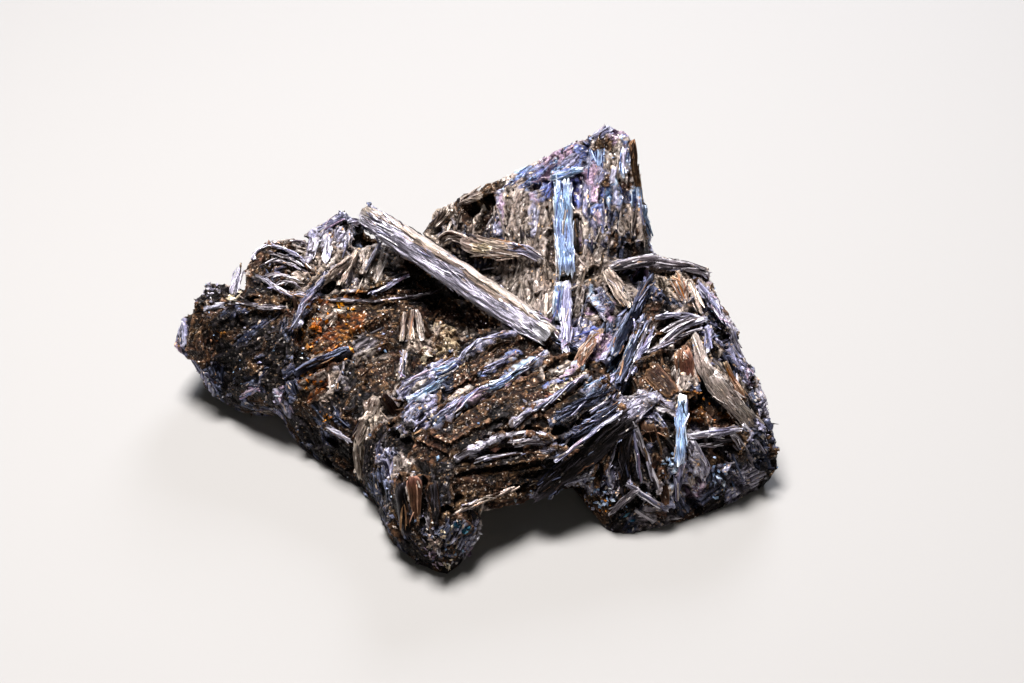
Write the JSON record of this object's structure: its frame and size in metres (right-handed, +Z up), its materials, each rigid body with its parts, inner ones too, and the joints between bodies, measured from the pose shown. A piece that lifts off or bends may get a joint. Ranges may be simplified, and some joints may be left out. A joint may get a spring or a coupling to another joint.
{
  "type": "covellite specimen",
  "caption": "Hand-size mineral specimen: one grown mass of dark, bladed covellite crystals with a tall rear fin, deep crevices and a flat underside to rest on.",
  "frame": {"origin": "a point of the flat underside close to the middle of the footprint, on the table's plane", "axes": "+Z up, +X along the specimen's length toward its rounded eastern lobe, +Y toward the back, where the tall fin stands"},
  "size_m": [0.0773, 0.0554, 0.033],
  "materials": {
    "covellite": "submetallic indigo to grey-brown crystal blades with iridescent tarnish, satin to bright on the edges"
  },
  "bodies": {
    "root": {"covellite_specimen": "covellite"}
  },
  "joints": []
}
